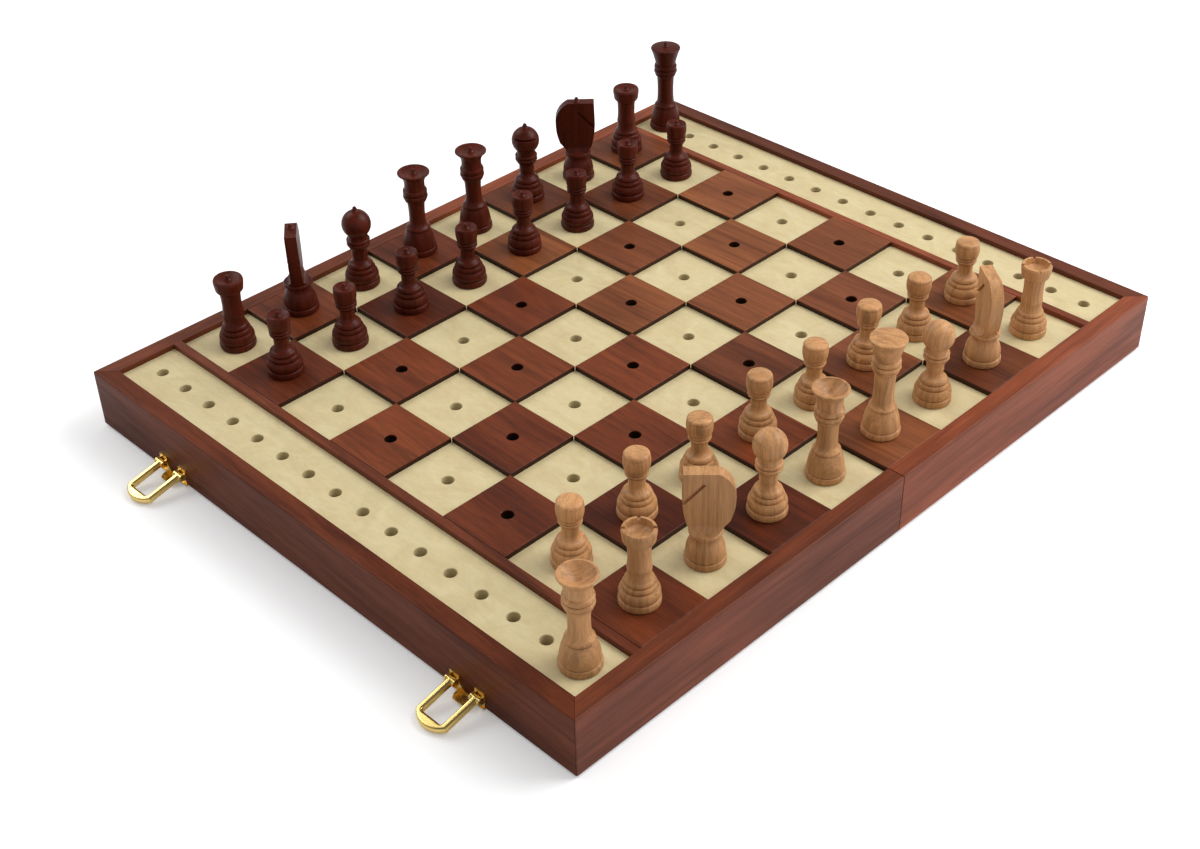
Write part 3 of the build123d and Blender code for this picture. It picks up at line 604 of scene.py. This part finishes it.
class CHESS_OT_lay_squares(bpy.types.Operator):
    """Lay the raised dark squares on both panels."""

    bl_idname = "chess.lay_squares"
    bl_label = "Lay Dark Squares"

    def execute(self, context):
        colours, sizes = context.scene.chess_colours, context.scene.chess_sizes
        flow = square_flow()
        # Each half is cut from one plank, with a seed that gives its squares their tones.
        tones = {"left": (colours.left_square, 561), "right": (colours.right_square, 1016)}
        for half, (colour, seed) in tones.items():
            wood = red_wood(
                f"{half}_square_wood", tuple(colour), "Y", sizes.rail_grain, (0, 0, 0), seed,
                tiled=True)
            node = f"{half}_dark_squares"
            low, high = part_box(node)
            pattern = square_tile(sizes, high[2] - low[2])
            centre = middle(node)
            piece = flow.make(f"{half}_raised_squares", {
                "Pattern": pattern, "Pitch": sizes.square,
                "Files": FILES_PER_HALF, "Ranks": RANKS,
                "Middle": (centre.x, centre.y, low[2]), "Seed": seed, "Material": wood,
            })
            bpy.data.objects.remove(pattern)
            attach(piece, f"{half}_half")
            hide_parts(node)
        return {"FINISHED"}


class CHESS_OT_finish_light_pieces(bpy.types.Operator):
    """Finish the light pieces in natural wood."""

    bl_idname = "chess.finish_light_pieces"
    bl_label = "Finish Light Pieces"

    def execute(self, context):
        colour = tuple(context.scene.chess_colours.light_piece)
        width = context.scene.chess_sizes.piece_grain
        dress_pieces("light_", colour, width, 0, smooth=0.40, specular=0.30, contrast=1.0)
        return {"FINISHED"}


class CHESS_OT_finish_dark_pieces(bpy.types.Operator):
    """Finish the dark pieces and the points in their tops in stained wood."""

    bl_idname = "chess.finish_dark_pieces"
    bl_label = "Finish Dark Pieces"

    def execute(self, context):
        colour = tuple(context.scene.chess_colours.dark_piece)
        width = context.scene.chess_sizes.piece_grain
        dress_pieces("dark_", colour, width, 50, smooth=0.36, specular=0.16, contrast=1.2)
        return {"FINISHED"}


class CHESS_OT_finish_brass(bpy.types.Operator):
    """Finish the clasps, catches, hinges, pins, nails and screws."""

    bl_idname = "chess.finish_brass"
    bl_label = "Finish Brass"

    def execute(self, context):
        colour = tuple(context.scene.chess_colours.brass)
        bright = {"colour": colour, "roughness": 0.20, "wear": 0.10}
        aged = {"colour": shade(colour, 0.9), "roughness": 0.28, "wear": 0.18}
        finishes = {"clasp_": bright, "catch_": bright, "hinge_": aged}
        for start, finish in finishes.items():
            for node in sorted(name for name in cad_nodes if name.startswith(start)):
                dress(node, polished_metal(f"{node}_brass", centre=middle(node), **finish))
        return {"FINISHED"}


# The studio


class CHESS_OT_set_studio(bpy.types.Operator):
    """Lay the floor, hang the lamps and place the camera."""

    bl_idname = "chess.set_studio"
    bl_label = "Set Studio"

    def execute(self, context):
        studio = context.scene.chess_studio
        lay_floor(studio)
        light_room(context.scene, studio)
        place_camera(context.scene, studio)
        context.scene.view_settings.view_transform = "Standard"
        return {"FINISHED"}


def lay_floor(studio):
    """A plain pale floor under the object. From below it is clear, so that the underside shows."""
    reach = 4.0
    lift = 0.22  # glow that only the camera sees
    height = cad_box[0][2]
    mesh = bpy.data.meshes.new("floor")
    corners = [(x * reach, y * reach, height) for x, y in ((-1, -1), (1, -1), (1, 1), (-1, 1))]
    mesh.from_pydata(corners, [], [(0, 1, 2, 3)])
    floor = bpy.data.objects.new("floor", mesh)
    bpy.context.scene.collection.objects.link(floor)
    recipe = Recipe("pale_floor")
    tone = (studio.floor_tone,) * 3
    grain = recipe.noise(recipe.place((0, 0, 0), (0.4, 0.4, 0.4)), 2.0)
    recipe.surface(Base_Color=recipe.ramp(grain, (0.3, shade(tone, 0.985)), (0.7, tone)))
    recipe.surface(Roughness=0.9, Specular_IOR_Level=0.0)
    light = recipe.node("ShaderNodeLightPath")
    glow = recipe.node("ShaderNodeEmission", {"Color": WHITE, "Strength": lift})
    seen, plain = light.outputs["Is Camera Ray"], recipe.shader.outputs["BSDF"]
    lifted = recipe.node("ShaderNodeAddShader", {0: plain, 1: glow.outputs["Emission"]})
    top = recipe.node("ShaderNodeMixShader", {0: seen, 1: plain, 2: lifted.outputs["Shader"]})
    clear = recipe.node("ShaderNodeBsdfTransparent")
    below = recipe.node("ShaderNodeNewGeometry").outputs["Backfacing"]
    passed = recipe.maths("GREATER_THAN", light.outputs["Transparent Depth"], 0.5)
    open_floor = recipe.maths("MAXIMUM", below, passed)
    both = recipe.node("ShaderNodeMixShader", {
        0: open_floor, 1: top.outputs["Shader"], 2: clear.outputs["BSDF"]})
    recipe.feed(recipe.output, "Surface", both.outputs["Shader"])
    mesh.materials.append(recipe.material)


def light_room(scene, studio):
    """A pale room that is brighter at the right, with a large lamp there and one at the back.

    Polished faces see its walls brighter than its ceiling, and the camera sees it white."""
    wall_top, ceiling_edge = 0.44, 0.72  # heights of a ray's direction, from 0 level to 1 upright
    world = bpy.data.worlds.new("pale_room")
    world.use_nodes = True
    scene.world = world
    wiring = Wiring(world.node_tree)
    wiring.tree.nodes.clear()
    direction = wiring.node("ShaderNodeTexCoord").outputs["Generated"]
    across = wiring.node("ShaderNodeSeparateXYZ", {"Vector": direction}).outputs
    sided = wiring.maths("MULTIPLY_ADD", across["X"], studio.one_sided, 1.0)
    diffuse = wiring.maths("MULTIPLY", sided, studio.ambient)
    mirror = wiring.node("ShaderNodeMapRange", {
        "Value": across["Z"], "From Min": wall_top, "From Max": ceiling_edge,
        "To Min": studio.mirrored, "To Max": studio.overhead})
    ray = wiring.node("ShaderNodeLightPath").outputs
    result = None
    rooms = {"": diffuse, "Is Glossy Ray": mirror.outputs["Result"], "Is Camera Ray": 1.0}
    for kind, strength in rooms.items():
        room = wiring.node("ShaderNodeBackground", {"Color": WHITE, "Strength": strength})
        if kind:
            inputs = {0: ray[kind], 1: result, 2: room.outputs[0]}
            room = wiring.node("ShaderNodeMixShader", inputs)
        result = room.outputs[0]
    wiring.node("ShaderNodeOutputWorld", {"Surface": result})
    hang_lamp("key_lamp", (0.78, -0.54, 1.00), studio.key_power, 1.0)
    hang_lamp("back_lamp", (-0.30, 1.30, 1.20), studio.back_power, 0.9)


def hang_lamp(name, place, power, size):
    """A square lamp that faces the middle of the board."""
    lamp = bpy.data.lights.new(name, "AREA")
    lamp.energy = power
    lamp.size = size
    holder = bpy.data.objects.new(name, lamp)
    holder.location = place
    holder.rotation_euler = (-Vector(place)).to_track_quat("-Z", "Y").to_euler()
    bpy.context.scene.collection.objects.link(holder)


def place_camera(scene, studio):
    """The photograph's viewpoint: over the corner of the clasp end and the light pieces' side."""
    place = Vector((-480.4, -470.5, 474.2)) * MM
    aim = Vector((-60.7, -39.6, 28.6)) * MM
    lean = math.radians(-1.39)
    camera_data = bpy.data.cameras.new("camera")
    camera_data.lens = studio.lens
    camera_data.sensor_fit = "HORIZONTAL"
    camera_data.sensor_width = 36.0
    camera = bpy.data.objects.new("camera", camera_data)
    turn = (aim - place).to_track_quat("-Z", "Y").to_matrix() @ Matrix.Rotation(lean, 3, "Z")
    camera.matrix_world = Matrix.Translation(place) @ turn.to_4x4()
    scene.collection.objects.link(camera)
    scene.camera = camera


class CHESS_PT_panel(bpy.types.Panel):
    """Settings and steps of the chess set."""

    bl_label = "Tactile Chess Set"
    bl_idname = "CHESS_PT_panel"
    bl_space_type = "VIEW_3D"
    bl_region_type = "UI"
    bl_category = "Chess Set"

    def draw(self, context):
        for name in GROUPS:
            group = getattr(context.scene, name)
            box = self.layout.box()
            for setting in group.__annotations__:
                box.prop(group, setting)
        for step in STEPS:
            self.layout.operator(step.bl_idname)


STEPS = (
    CHESS_OT_finish_rails,
    CHESS_OT_finish_panels,
    CHESS_OT_lay_squares,
    CHESS_OT_finish_light_pieces,
    CHESS_OT_finish_dark_pieces,
    CHESS_OT_finish_brass,
    CHESS_OT_set_studio,
)
GROUPS = {"chess_colours": ChessColours, "chess_sizes": ChessSizes, "chess_studio": ChessStudio}


def register():
    for group in GROUPS.values():
        bpy.utils.register_class(group)
    for step in STEPS:
        bpy.utils.register_class(step)
    bpy.utils.register_class(CHESS_PT_panel)
    for name, group in GROUPS.items():
        setattr(bpy.types.Scene, name, bpy.props.PointerProperty(type=group))


def unregister():
    for name in GROUPS:
        delattr(bpy.types.Scene, name)
    bpy.utils.unregister_class(CHESS_PT_panel)
    for step in reversed(STEPS):
        bpy.utils.unregister_class(step)
    for group in reversed(list(GROUPS.values())):
        bpy.utils.unregister_class(group)


def main():
    register()
    for step in STEPS:
        _, operator = step.bl_idname.split(".")
        getattr(bpy.ops.chess, operator)()


if __name__ == "__main__":
    main()
